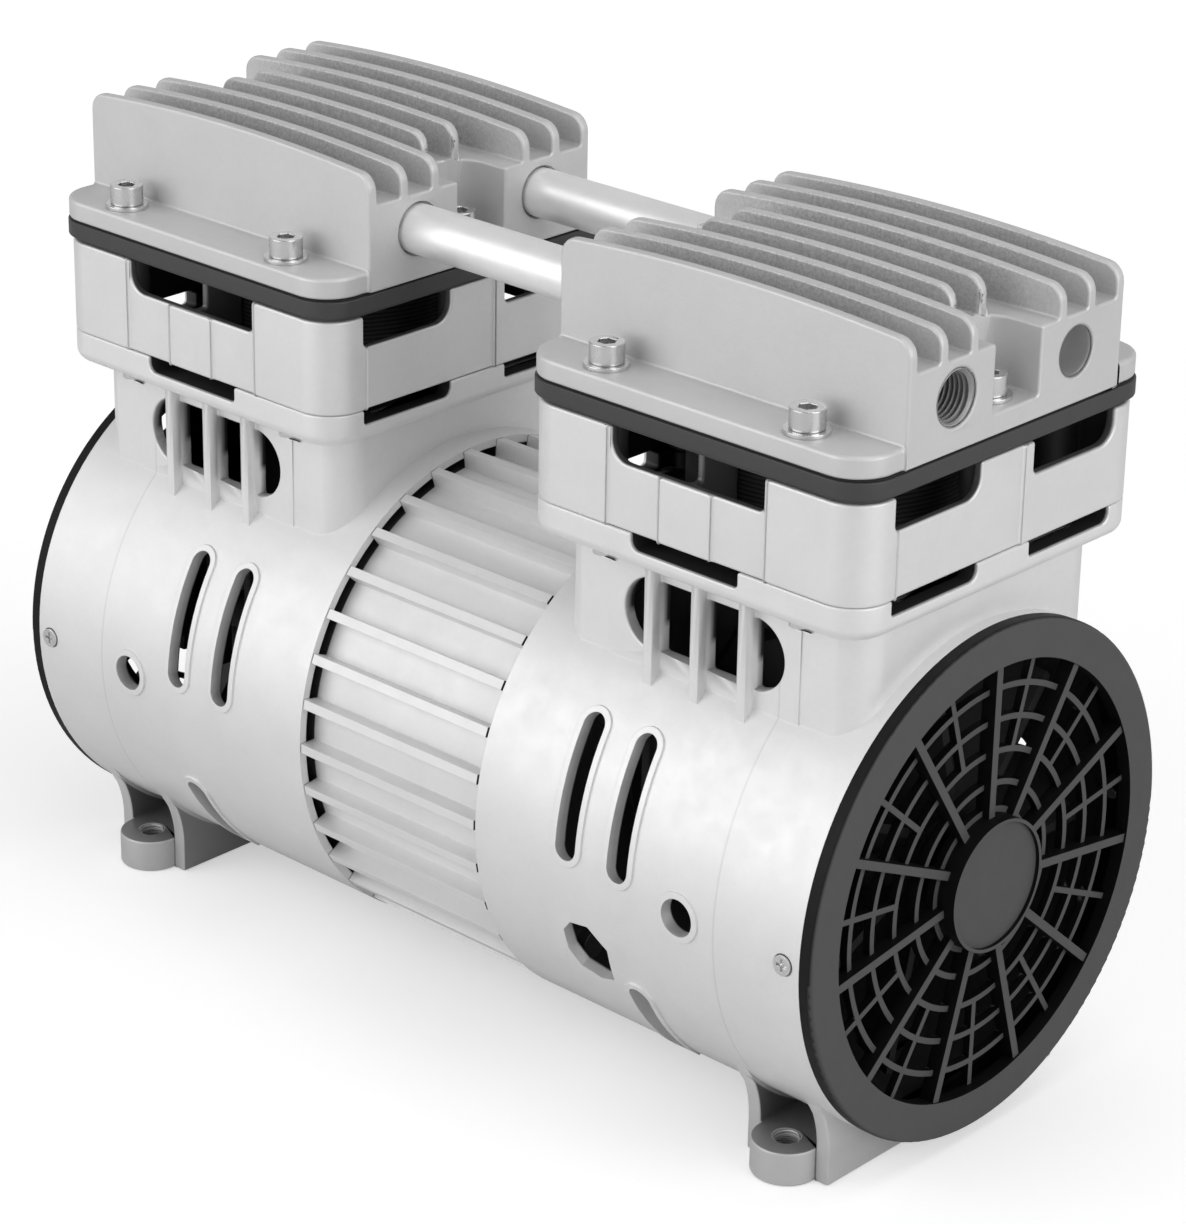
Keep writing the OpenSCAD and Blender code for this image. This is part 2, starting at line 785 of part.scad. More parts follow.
module head_gasket() {
    color(black) at_cylinder(gasket_z) difference() {
        round_block(stack_hx - gasket_in, stack_hy - gasket_in, stack_corner - gasket_in, gasket_t);
        for (s = [-1, 1]) translate([-chamber_hx, s > 0 ? chamber_in_y : -chamber_out_y, -1])
            cube([2 * chamber_hx, chamber_out_y - chamber_in_y, gasket_t + 2]);
        for (p = all_spots) translate([p[0], p[1], -1]) cylinder(r = screw_r + hole_gap, h = gasket_t + 2);
    }
}

// The points of an arc, without its last one
function arc_points(x, y, r, from, to, n) =
    [for (i = [0 : n - 1]) let (a = from + (to - from) * i / n) [x + r * cos(a), y + r * sin(a)]];

// Side view of a fin: an arched top that runs smoothly into round corners
module fin_outline(half_len, base, top) {
    lean = asin((half_len - fin_corner) / (fin_arch_r - fin_corner));
    corner_z = top - fin_arch_r + (fin_arch_r - fin_corner) * cos(lean);
    polygon(concat(
        [[-half_len, base], [half_len, base]],
        arc_points(half_len - fin_corner, corner_z, fin_corner, 0, 90 - lean, fin_corner_n),
        arc_points(0, top - fin_arch_r, fin_arch_r, 90 - lean, 90 + lean, fin_arch_n),
        arc_points(fin_corner - half_len, corner_z, fin_corner, 90 + lean, 180, fin_corner_n),
        [[-half_len, corner_z]]
    ));
}

module head_fins() {
    for (i = [-3.5 : 1 : 3.5]) {
        half_len = abs(i) < 1 ? fin_mid_len : fin_half_len;
        translate([0, i * fin_pitch + fin_t / 2, 0]) rotate([90, 0, 0]) linear_extrude(fin_t)
            fin_outline(half_len, plate_t - 1, plate_t + fin_h);
    }
}

module head_pockets() {
    for (s = [0, 180]) rotate([0, 0, s]) translate([end_screw_x, 0, plate_t]) {
        cylinder(r = pocket_r, h = fin_h + 2);
        translate([0, -pocket_r, 0]) cube([stack_hx, 2 * pocket_r, fin_h + 2]);
    }
}

// A port into the head from one end, as a blind or open hole with its mouth
module port_hole(y, r, len, mouth) {
    translate([head_hx - len, y, plate_t + port_rise]) rotate([0, 90, 0]) cylinder(r = r, h = len + 1);
    translate([head_hx - mouth, y, plate_t + port_rise]) rotate([0, 90, 0])
        cylinder(r1 = r, r2 = r + mouth, h = mouth + eps);
}

module chamber_passage(y, len) {
    translate([head_hx - len, y, plate_t + port_rise]) rotate([0, 90, 0])
        cylinder(r = passage_r, h = len - tube_depth / 2);
}

module cylinder_head() {
    color(head_cast) at_cylinder(plate_z) difference() {
        union() {
            soft_slab(stack_hx - boss_proud, stack_hy, stack_corner, plate_t, plate_soft);
            translate([-head_hx, -block_hy, 0]) cube([2 * head_hx, 2 * block_hy, plate_t + boss_h]);
            head_fins();
        }
        head_pockets();
        for (s = [-1, 1]) translate([-chamber_hx, s > 0 ? chamber_in_y : -chamber_out_y, -1])
            cube([2 * chamber_hx, chamber_out_y - chamber_in_y, plate_t + boss_h - chamber_roof + 1]);
        port_hole(-port_y, thread_r, thread_len, mouth_cut);
        chamber_passage(-port_y, head_hx - chamber_hx + 1);
        port_hole(port_y, plain_r, plain_len, mouth_cut);
        rotate([0, 0, 180]) for (s = [-1, 1]) {
            port_hole(s * port_y, tube_r + fit_gap, tube_depth, socket_mouth);
            chamber_passage(s * port_y, head_hx - chamber_hx + 1);
            translate([head_hx - seal_depth - seal_w, s * port_y, plate_t + port_rise]) rotate([0, 90, 0])
                cylinder(r = tube_r + seal_h, h = seal_w);
        }
        for (p = all_spots) translate([p[0], p[1], -1]) cylinder(r = screw_r + hole_gap, h = plate_t + 2);
    }
}

module head_washers() {
    color(bright) at_cylinder(plate_top) for (p = all_spots) translate([p[0], p[1], 0])
        ring(washer_r, screw_r + hole_gap, washer_t);
}

module cap_screw(r, len, head_r, head_h) {
    difference() {
        union() {
            translate([0, 0, -len]) cylinder(r = r, h = len + eps);
            cylinder(r = head_r, h = head_h);
        }
        translate([0, 0, head_h * (1 - hex_depth)]) cylinder(r = head_r * hex_share, h = head_h, $fn = 6);
    }
}

module head_screws() {
    color(bright) at_cylinder(plate_top + washer_t) for (p = all_spots) translate([p[0], p[1], 0])
        cap_screw(screw_r, plate_top + washer_t - flange_z + (p[1] == 0 ? -end_screw_stop : screw_tip),
            screw_head_r, screw_head_h);
}

// Transfer tubes between the heads, with a seal at each end

module transfer_tube(side) {
    color(bright) translate([0, side * port_y, port_z])
        along_x(tube_end_gap - head_in_x - tube_depth, head_in_x + tube_depth - tube_end_gap,
            tube_r, tube_r - tube_wall);
}

module tube_seals() {
    color(rubber) for (s = [0, 180]) rotate([0, 0, s]) for (y = [-port_y, port_y])
        translate([0, y, port_z]) along_x(head_in_x + seal_depth, head_in_x + seal_depth + seal_w,
            tube_r + seal_h, tube_r);
}

// Motor

module barrel_ribs() {
    for (i = [0 : rib_n - 1]) rotate([i * 360 / rib_n, 0, 0])
        translate([-rim_x, barrel_r - 1, -rib_w / 2]) cube([barrel_len, rib_h + 1, rib_w]);
}

module motor_barrel() {
    color(die_cast) translate([0, 0, shaft_z]) difference() {
        union() {
            along_x(-wall_x, wall_x, barrel_r);
            barrel_ribs();
        }
        along_x(-wall_x - 1, wall_x + 1, stator_r);
        along_x(rim_x - rib_tick, rim_x + 1, case_r + 2, rim_in_r + 1);
    }
}

module stator_slots(w, r0, r1, len) {
    for (i = [0 : slot_n - 1]) rotate([(i + 0.5) * 360 / slot_n, 0, 0])
        translate([-len / 2, r0, -w / 2]) cube([len, r1 - r0, w]);
}

module stator_core() {
    color(steel) translate([0, 0, shaft_z]) difference() {
        along_x(-core_len / 2, core_len / 2, stator_r, rotor_r + air_gap);
        stator_slots(slot_w_core, coil_in_r, coil_out_r, core_len + 2);
        stator_slots(slot_mouth, rotor_r, coil_in_r + 1, core_len + 2);
        tie_spots() along_x(-core_len, core_len, tie_r + hole_gap);
    }
}

module stator_windings() {
    color(copper) translate([0, 0, shaft_z]) {
        stator_slots(slot_w_core - 2 * hole_gap, coil_in_r + hole_gap, coil_out_r - hole_gap, core_len + 4);
        for (s = [0, 1]) mirror([s, 0, 0])
            along_x(core_len / 2 + 1, wall_x - coil_end_gap, coil_out_r + 2, coil_in_r);
    }
}

module rotor_core() {
    color(steel) translate([0, 0, shaft_z]) along_x(-core_len / 2, core_len / 2, rotor_r, rotor_seat_r);
}

module rotor_end_rings() {
    color(die_cast) translate([0, 0, shaft_z]) for (s = [0, 1]) mirror([s, 0, 0])
        along_x(core_len / 2, core_len / 2 + end_ring_w, rotor_r - 1, rotor_r - 9);
}

module motor_shaft() {
    color(steel) translate([0, 0, shaft_z]) {
        along_x(-shaft_end, shaft_end, shaft_r);
        along_x(-bearing_x - bearing_w, bearing_x + bearing_w, journal_r);
        along_x(1 - wall_x, wall_x - 1, rotor_seat_r);
    }
}

// Ball bearing parts, drawn from X = 0 to X = w
module outer_race(r_in, r_out, w) {
    wall = (r_out - r_in) * race_share;
    along_x(0, w, r_out, r_out - wall);
}

module inner_race(r_in, r_out, w) {
    wall = (r_out - r_in) * race_share;
    along_x(0, w, r_in + wall, r_in);
}

module race_balls(r_in, r_out, w, n) {
    mid = (r_in + r_out) / 2;
    ball_r = (r_out - r_in) * (0.5 - race_share) - ball_gap;
    for (i = [0 : n - 1]) rotate([i * 360 / n, 0, 0]) translate([w / 2, mid, 0]) sphere(r = ball_r);
}

module motor_bearing_outer_rings() {
    color(bright) translate([0, 0, shaft_z]) for (s = [0, 1]) mirror([s, 0, 0])
        translate([bearing_x, 0, 0]) outer_race(journal_r, bearing_r, bearing_w);
}

module motor_bearing_inner_rings() {
    color(bright) translate([0, 0, shaft_z]) for (s = [0, 1]) mirror([s, 0, 0])
        translate([bearing_x, 0, 0]) {
            inner_race(journal_r, bearing_r, bearing_w);
            race_balls(journal_r, bearing_r, bearing_w, 8);
        }
}

module tie_bolts() {
    color(steel) translate([0, 0, shaft_z]) tie_spots() {
        along_x(-tie_len / 2 - tie_head_h - 1, tie_len / 2 + eps, tie_r);
        along_x(tie_len / 2, tie_len / 2 + tie_head_h, tie_head_r);
        translate([-tie_len / 2 - tie_head_h, 0, 0]) rotate([0, 90, 0])
            cylinder(r = tie_head_r, h = tie_head_h, $fn = 6);
    }
}

// Crank, rod and piston of the right-hand end, at mid-stroke

module eccentric() {
    color(steel) translate([0, 0, shaft_z]) difference() {
        union() {
            along_x(sleeve_x0, sleeve_x0 + weight_t, sleeve_r);
            intersection() {
                along_x(sleeve_x0, sleeve_x0 + weight_t, weight_r);
                translate([sleeve_x0 - 1, 2, -weight_r]) cube([weight_t + 2, weight_r, 2 * weight_r]);
            }
            translate([0, -throw, 0])
                along_x(sleeve_x0 + weight_t, journal_stop, crank_bearing_in);
        }
        along_x(sleeve_x0 - 1, journal_stop + 1, shaft_r);
        translate([sleeve_x0 + weight_t / 2, 0, 0]) rotate([-90, 0, 0])
            cylinder(r = set_screw_r, h = weight_r + 1);
    }
}

module eccentric_set_screws() {
    color(black) for (s = [0, 180]) rotate([0, 0, s])
        translate([sleeve_x0 + weight_t / 2, shaft_r, shaft_z]) rotate([-90, 0, 0]) difference() {
            cylinder(r = set_screw_r, h = set_screw_len);
            translate([0, 0, set_screw_len - set_screw_key])
                cylinder(r = set_screw_r * hex_share, h = set_screw_key + 1, $fn = 6);
        }
}

module crank_bearing() {
    color(bright) translate([cyl_x - crank_bearing_w / 2, 0, shaft_z]) {
        outer_race(crank_bearing_in, crank_bearing_out, crank_bearing_w);
        inner_race(crank_bearing_in, crank_bearing_out, crank_bearing_w);
        race_balls(crank_bearing_in, crank_bearing_out, crank_bearing_w, 12);
    }
}

module connecting_rod() {
    rod_z = shaft_z + crank_bearing_out + 1;
    color(die_cast) difference() {
        union() {
            translate([cyl_x - rod_t / 2, 0, shaft_z]) rotate([0, 90, 0]) cylinder(r = big_end_r, h = rod_t);
            translate([cyl_x - rod_t / 2, -rod_w / 2, rod_z]) cube([rod_t, rod_w, piston_top - rod_z - 1]);
            at_cylinder(piston_top - piston_h) cylinder(r = bore_r - piston_gap, h = piston_h);
            at_cylinder(piston_top - piston_h - 5) cylinder(r1 = 11, r2 = 17, h = 5 + eps);
        }
        translate([cyl_x - rod_t, 0, shaft_z]) rotate([0, 90, 0])
            cylinder(r = crank_bearing_out, h = 2 * rod_t);
        for (s = [0, 180]) rotate_about(cyl_x, s)
            translate([cyl_x + rod_web_t / 2, rod_edge - rod_w / 2, shaft_z + big_end_r + rod_edge])
            cube([rod_t, rod_w - 2 * rod_edge, piston_top - piston_h - 9 - shaft_z - big_end_r]);
        at_cylinder(piston_top - 6) cylinder(r = retainer_screw_r, h = 8);
    }
}

// Cup seal: a flat washer with an upturned lip that runs on the bore
module piston_cup() {
    cup_r = bore_r - cup_gap;
    color(ptfe) at_cylinder(piston_top) {
        ring(cup_r - 1, retainer_screw_r + hole_gap, cup_t);
        ring(cup_r, cup_r - 1.2, cup_t + retainer_t);
    }
}

module cup_retainer() {
    color(steel) at_cylinder(piston_top + cup_t) difference() {
        cylinder(r = bore_r - cup_gap - 1.5, h = retainer_t);
        translate([0, 0, -1]) cylinder(r = retainer_screw_r + hole_gap, h = retainer_t + 2);
        translate([0, 0, retainer_t - retainer_sink]) cylinder(r1 = retainer_screw_r + hole_gap,
            r2 = retainer_screw_r + hole_gap + retainer_sink, h = retainer_sink + eps);
    }
}

module retainer_screw() {
    color(bright) at_cylinder(crown_z) difference() {
        union() {
            translate([0, 0, -retainer_t - cup_t - 6])
                cylinder(r = retainer_screw_r, h = retainer_t + cup_t + 5);
            translate([0, 0, -retainer_sink]) cylinder(r1 = retainer_screw_r,
                r2 = retainer_screw_r + retainer_sink, h = retainer_sink);
        }
        translate([0, 0, -1.5]) cylinder(r = 1.7, h = 2, $fn = 6);
    }
}

// Fans and guards

module fan() {
    color(black) translate([0, 0, shaft_z]) difference() {
        union() {
            along_x(fan_x, fan_x + fan_len, fan_hub_r);
            intersection() {
                along_x(fan_x + 1, fan_x + fan_len - 1, fan_r, fan_hub_r - 2);
                for (i = [0 : blade_n - 1]) rotate([i * 360 / blade_n, 0, 0])
                    translate([fan_x + fan_len / 2, fan_r / 2, 0]) rotate([0, blade_pitch, 0])
                    cube([2 * fan_len, fan_r + 4, blade_t], center = true);
            }
        }
        along_x(fan_x - 1, fan_x + fan_len - 2, shaft_r);
        translate([fan_x + fan_screw_in, 0, 0]) cylinder(r = fan_screw_r, h = fan_hub_r + 1);
    }
}

module fan_set_screws() {
    color(steel) for (s = [0, 180]) rotate([0, 0, s])
        translate([fan_x + fan_screw_in, 0, shaft_z + shaft_r])
        cylinder(r = fan_screw_r, h = fan_hub_r - shaft_r - 0.5);
}

// Half section of the guard's ring and of the lip that enters the case
module guard_ring_profile() {
    translate([ring_in_r, 0]) edge_profile(ring_w, ring_t, guard_soft);
    translate([case_in_r - fit_gap - guard_lip_t, -guard_lip]) square([guard_lip_t, guard_lip + 1]);
}

// Deep main spokes from the hub, and shallow ones halfway between them
module guard_spokes() {
    half_r = arc_first_r + arc_pitch;
    for (i = [0 : spoke_n - 1]) rotate([i * 360 / spoke_n, 0, 0]) {
        translate([spoke_back, -spoke_w / 2, hub_r - 1]) cube([spoke_d, spoke_w, ring_in_r - hub_r + 2]);
        rotate([180 / spoke_n, 0, 0]) translate([spoke_back, -arc_w / 2, half_r])
            cube([arc_d, arc_w, ring_in_r - half_r + 1]);
    }
}

module guard_arcs() {
    for (i = [0 : 3]) along_x(spoke_back, spoke_back + arc_d,
        arc_first_r + i * arc_pitch + arc_w / 2, arc_first_r + i * arc_pitch - arc_w / 2);
}

// Dished cap in the middle of the guard
module guard_hub() {
    along_x(spoke_back, spoke_back + arc_d, hub_r + hub_base);
    along_x(spoke_back, guard_front + hub_rise - hub_dish, hub_r);
    along_x(spoke_back, guard_front + hub_rise, hub_r, hub_r - hub_rim);
}

module fan_guard() {
    color(dark) difference() {
        translate([0, 0, shaft_z]) {
            translate([guard_back, 0, 0]) rotate([0, 90, 0]) rotate_extrude() guard_ring_profile();
            guard_spokes();
            guard_arcs();
            guard_hub();
        }
        both_sides() at_side(guard_screw_x, 0) translate([0, 0, case_in_r - 5])
            cylinder(r = guard_screw_r, h = 6);
    }
}

module guard_screws() {
    color(bright) for (s = [0, 180]) rotate([0, 0, s]) both_sides() at_side(guard_screw_x, 0)
        translate([0, 0, case_r - guard_head_sink]) difference() {
            union() {
                translate([0, 0, -guard_screw_len]) cylinder(r = guard_screw_r, h = guard_screw_len + eps);
                cylinder(r = guard_head_r, h = guard_head_h);
            }
            for (a = [0, 90]) rotate([0, 0, a]) translate([-1.6, -0.35, guard_head_h / 2])
                cube([3.2, 0.7, 1]);
        }
}

crankcase();  // crankcase_right
left_end() crankcase();  // crankcase_left
motor_barrel();
stator_core();
stator_windings();
rotor_core();
rotor_end_rings();
motor_shaft();
motor_bearing_outer_rings();
motor_bearing_inner_rings();
tie_bolts();
eccentric();  // eccentric_right
left_end() eccentric();  // eccentric_left
eccentric_set_screws();
crank_bearing();  // crank_bearing_right
left_end() crank_bearing();  // crank_bearing_left
connecting_rod();  // connecting_rod_right
left_end() connecting_rod();  // connecting_rod_left
piston_cup();  // piston_cup_right
left_end() piston_cup();  // piston_cup_left
cup_retainer();  // cup_retainer_right
left_end() cup_retainer();  // cup_retainer_left
retainer_screw();  // retainer_screw_right
left_end() retainer_screw();  // retainer_screw_left
cylinder_liner();  // cylinder_liner_right
left_end() cylinder_liner();  // cylinder_liner_left
liner_seal();  // liner_seal_right
left_end() liner_seal();  // liner_seal_left
cylinder_jacket();  // cylinder_jacket_right
left_end() cylinder_jacket();  // cylinder_jacket_left
valve_plate();  // valve_plate_right
left_valves() valve_plate();  // valve_plate_left
intake_reed();  // intake_reed_right
left_valves() intake_reed();  // intake_reed_left
exhaust_reed();  // exhaust_reed_right
left_valves() exhaust_reed();  // exhaust_reed_left
reed_stop();  // reed_stop_right
left_valves() reed_stop();  // reed_stop_left
head_gasket();  // head_gasket_right
left_end() head_gasket();  // head_gasket_left
cylinder_head();  // cylinder_head_right
left_end() cylinder_head();  // cylinder_head_left
head_screws();  // head_screws_right
left_end() head_screws();  // head_screws_left
head_washers();  // head_washers_right
left_end() head_washers();  // head_washers_left
transfer_tube(-1);  // transfer_tube_front
transfer_tube(1);  // transfer_tube_rear
tube_seals();
fan();  // fan_right
left_end() fan();  // fan_left
fan_set_screws();
fan_guard();  // fan_guard_right
left_end() fan_guard();  // fan_guard_left
guard_screws();
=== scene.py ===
import bmesh
import bpy
import json
import math
from mathutils import Matrix, Vector

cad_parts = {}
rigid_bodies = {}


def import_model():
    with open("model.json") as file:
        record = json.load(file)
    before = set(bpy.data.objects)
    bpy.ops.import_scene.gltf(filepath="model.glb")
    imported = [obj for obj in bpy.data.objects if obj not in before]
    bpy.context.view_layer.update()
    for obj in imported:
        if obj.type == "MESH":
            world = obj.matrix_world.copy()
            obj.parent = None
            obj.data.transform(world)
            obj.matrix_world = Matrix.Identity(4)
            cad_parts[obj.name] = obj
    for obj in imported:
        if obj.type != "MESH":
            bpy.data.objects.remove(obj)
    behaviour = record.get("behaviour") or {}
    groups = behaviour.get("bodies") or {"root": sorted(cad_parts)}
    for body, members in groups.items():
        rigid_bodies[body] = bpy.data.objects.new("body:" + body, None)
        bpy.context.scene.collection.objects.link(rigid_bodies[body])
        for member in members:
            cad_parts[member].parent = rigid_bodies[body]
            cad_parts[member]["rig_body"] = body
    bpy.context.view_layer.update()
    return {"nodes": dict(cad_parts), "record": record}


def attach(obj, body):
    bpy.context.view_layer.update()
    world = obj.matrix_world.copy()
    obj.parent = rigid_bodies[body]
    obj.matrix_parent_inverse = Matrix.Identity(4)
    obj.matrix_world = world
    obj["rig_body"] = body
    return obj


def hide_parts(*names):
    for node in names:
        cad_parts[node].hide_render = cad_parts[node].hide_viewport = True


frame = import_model()

# Everything is in metres, in the frame of the CAD model. Sizes in millimetres are written n * MM.
MM = 0.001
PUMP = "pump"
SIDES = ("right", "left")

# Places on the pump. A pair gives the two ends of a blend or a band, unless it says otherwise.
SHAFT_Z = 68 * MM
CYLINDER_X = 84 * MM
CASE_INNER_R = (61.8 * MM, 62.4 * MM)
CASE_SKIN_R = (64.8 * MM, 65.7 * MM)
CASE_RIM_X = (31.1 * MM, 31.5 * MM)
CASE_RIM_END_X = 40 * MM
CASE_RIM_R = 63.2 * MM
SEAM_X = (107.35 * MM, 107.65 * MM)
SEAM_BLEND = 0.25 * MM
NECK_BOTTOM = 126 * MM
NECK_BLEND = 2 * MM
NECK_HALF = (46 * MM, 44.5 * MM)    # half length, half width
NECK_DEPTH = (0.8 * MM, 2.5 * MM)
STACK_HALF = (51.2 * MM, 52.2 * MM)    # half length, half width
STACK_DEPTH = (0.7 * MM, 1.1 * MM)
STACK_CORNER = 10 * MM
DECK_Z = 147.2 * MM
BARREL_END_X = (30.7 * MM, 31.0 * MM)
BARREL_INNER_R = 57 * MM
RIB_NOTCH_X = 30.1 * MM
RIB_NOTCH_R = 63.4 * MM
BLOCK_TOP = 204.1 * MM
FIN_FIELD = 37.4 * MM
FIN_ENDS = (30 * MM, 50 * MM)
PORT_X = 135.6 * MM
PORT_Y = 21.7 * MM
PORT_Z = 194.7 * MM
PORT_WALL_R = (6.4 * MM, 6.7 * MM)
FOOT_X = 114.3 * MM
FOOT_Y = 44 * MM
FOOT_FACE_Z = (8 * MM, 26 * MM)
FOOT_TOP_Z = (45 * MM, 60 * MM)
FOOT_HOLE_R = (2.8 * MM, 3.1 * MM)
FOOT_HOLE_Z = (4 * MM, 8.6 * MM)
FOOT_HOLE_TOP = 8.75 * MM
POCKET_X = (105.6 * MM, 123.0 * MM)
POCKET_Y = (40 * MM, 53 * MM)
POCKET_BOTTOM = 8.7 * MM
POCKET_BLEND = 0.05 * MM
UNDER_CASE = 0.4 * MM
WEB_INNER_X = 101.8 * MM

# Painted shade and a faint seam: how dark those places are, from 0 to 1. A pair goes with the two ends of a
# blend above.
SEAM_SHADE = 0.12
FOOT_SHADE = 0.32
FOOT_HOLE_SHADE = (0.97, 0.7)
POCKET_SHADE = (0.85, 0.66)
WEB_INNER_SHADE = 0.64
PLAIN_PORT_SHADE = 0.25
THREADED_PORT_SHADE = 0.72
# Painted shade, mottled, on the faces of a head's fins that face each other
PAINTED_FIN_SHADE = (0.04, 0.42)
PAINTED_FIN_SHADE_SPREAD = (0.38, 0.62)
PAINTED_FIN_SHADE_SIZE = 0.8 * MM
PAINTED_FIN_SHADE_DETAIL = (4.0, 0.75)
PAINTED_FIN_SHADE_FACING = (0.5, 0.8)
PAINTED_FIN_SHADE_END_SHARE = 0.35


# Camera, at the photograph's place and angle

PHOTO_SIZE = (1186, 1224)
FOCAL_PIXELS = 3880.6
PRINCIPAL_POINT = (574.1, 526.44)
CAMERA_PLACE = Vector((0.62077, -0.66067, 0.48732))
CAMERA_AZIMUTH = math.radians(43.16)
CAMERA_ELEVATION = math.radians(22.13)
CAMERA_ROLL = math.radians(0.85)
CAMERA_NEAR = 0.01
SENSOR = 36


def make_camera():
    back = Vector((
        math.sin(CAMERA_AZIMUTH) * math.cos(CAMERA_ELEVATION),
        -math.cos(CAMERA_AZIMUTH) * math.cos(CAMERA_ELEVATION),
        math.sin(CAMERA_ELEVATION),
    ))
    level = Vector((math.cos(CAMERA_AZIMUTH), math.sin(CAMERA_AZIMUTH), 0))
    upright = back.cross(level)
    right = math.cos(CAMERA_ROLL) * level + math.sin(CAMERA_ROLL) * upright
    up = math.cos(CAMERA_ROLL) * upright - math.sin(CAMERA_ROLL) * level
    turn = Matrix((right, up, back)).transposed().to_4x4()
    data = bpy.data.cameras.new("camera")
    data.sensor_fit = "HORIZONTAL"
    data.sensor_width = SENSOR
    data.lens = FOCAL_PIXELS / PHOTO_SIZE[0] * SENSOR
    data.shift_x = (PHOTO_SIZE[0] / 2 - PRINCIPAL_POINT[0]) / PHOTO_SIZE[0]
    data.shift_y = (PRINCIPAL_POINT[1] - PHOTO_SIZE[1] / 2) / PHOTO_SIZE[0]
    data.clip_start = CAMERA_NEAR
    camera = bpy.data.objects.new("camera", data)
    camera.matrix_world = Matrix.Translation(CAMERA_PLACE) @ turn
    bpy.context.scene.collection.objects.link(camera)
    bpy.context.scene.camera = camera


# Node trees

def add(tree, kind, inputs=None, **settings):
    """A new node. An input is a value, or a socket to link from."""
    node = tree.nodes.new(kind)
    for name, value in settings.items():
        setattr(node, name, value)
    for name, value in (inputs or {}).items():
        if isinstance(value, bpy.types.NodeSocket):
            tree.links.new(value, node.inputs[name])
        else:
            node.inputs[name].default_value = value
    return node


def maths(tree, operation, a, b=0.0):
    return add(tree, "ShaderNodeMath", {0: a, 1: b}, operation=operation).outputs[0]


def product(tree, first, *others):
    for other in others:
        first = maths(tree, "MULTIPLY", first, other)
    return first


def largest(tree, first, *others):
    for other in others:
        first = maths(tree, "MAXIMUM", first, other)
    return first


def above(tree, value, limit):
    return maths(tree, "GREATER_THAN", value, limit)


def below(tree, value, limit):
    return maths(tree, "LESS_THAN", value, limit)


def distance(tree, a, b):
    """Length of a step that goes a along one axis and b along another."""
    squares = maths(tree, "ADD", maths(tree, "MULTIPLY", a, a), maths(tree, "MULTIPLY", b, b))
    return maths(tree, "SQRT", squares)


def axes(tree, vector):
    """The X, Y and Z of a vector."""
    return add(tree, "ShaderNodeSeparateXYZ", {0: vector}).outputs


def remap(tree, value, ends, to_ends):
    """Takes the span between two ends to the span between two others, and holds what lies outside it."""
    return add(tree, "ShaderNodeMapRange", {
        "Value": value, "From Min": ends[0], "From Max": ends[1],
        "To Min": to_ends[0], "To Max": to_ends[1],
    }).outputs["Result"]


def between(tree, value, ends, blend):
    """1 between two ends, and 0 where the value is more than the blend outside them."""
    return product(tree, remap(tree, value, (ends[0] - blend, ends[0]), (0, 1)),
                   remap(tree, value, (ends[1], ends[1] + blend), (1, 0)))


def mix(tree, factor, a, b):
    return add(tree, "ShaderNodeMix", {0: factor, 2: a, 3: b}).outputs[0]


def mix_colour(tree, factor, a, b):
    return add(tree, "ShaderNodeMix", {0: factor, 6: a, 7: b}, data_type="RGBA").outputs[2]


def noise(tree, vector, size, detail, roughness):
    """Noise between 0 and 1, with features of about the given size."""
    return add(tree, "ShaderNodeTexNoise", {
        "Vector": vector, "Scale": 1 / size, "Detail": detail, "Roughness": roughness,
    }).outputs["Fac"]


def surface_normal(tree):
    return add(tree, "ShaderNodeNewGeometry").outputs["Normal"]


def grey(level):
    return (level, level, level, 1)


def scaled(colour, share):
    return [min(1, channel * share) for channel in colour[:3]] + [1]


# Painted shade: a function whose name ends in shade gives how dark a place is painted, from 0 to 1

def shaft_distance(tree, place):
    """Distance from the shaft's axis."""
    _, y, z = axes(tree, place)
    return distance(tree, y, maths(tree, "SUBTRACT", z, SHAFT_Z))


def cylinder_distance(tree, x):
    """Distance along the shaft from the middle of the nearer cylinder."""
    off = maths(tree, "SUBTRACT", maths(tree, "ABSOLUTE", x), CYLINDER_X)
    return maths(tree, "ABSOLUTE", off)


def outline_depth(tree, place, half):
    """How far a place lies inside the round-cornered outline of a cylinder stack, in plan."""
    x, y, _ = axes(tree, place)
    over_x = maths(tree, "SUBTRACT", cylinder_distance(tree, x), half[0] - STACK_CORNER)
    over_y = maths(tree, "SUBTRACT", maths(tree, "ABSOLUTE", y), half[1] - STACK_CORNER)
    corner = distance(tree, maths(tree, "MAXIMUM", over_x, 0.0), maths(tree, "MAXIMUM", over_y, 0.0))
    flat = maths(tree, "MINIMUM", maths(tree, "MAXIMUM", over_x, over_y), 0.0)
    return maths(tree, "SUBTRACT", STACK_CORNER, maths(tree, "ADD", corner, flat))


def jacket_shade(tree, place):
    """Painted shade on the inside walls of a cylinder jacket and on the sides of its windows."""
    return remap(tree, outline_depth(tree, place, STACK_HALF), STACK_DEPTH, (0, 1))


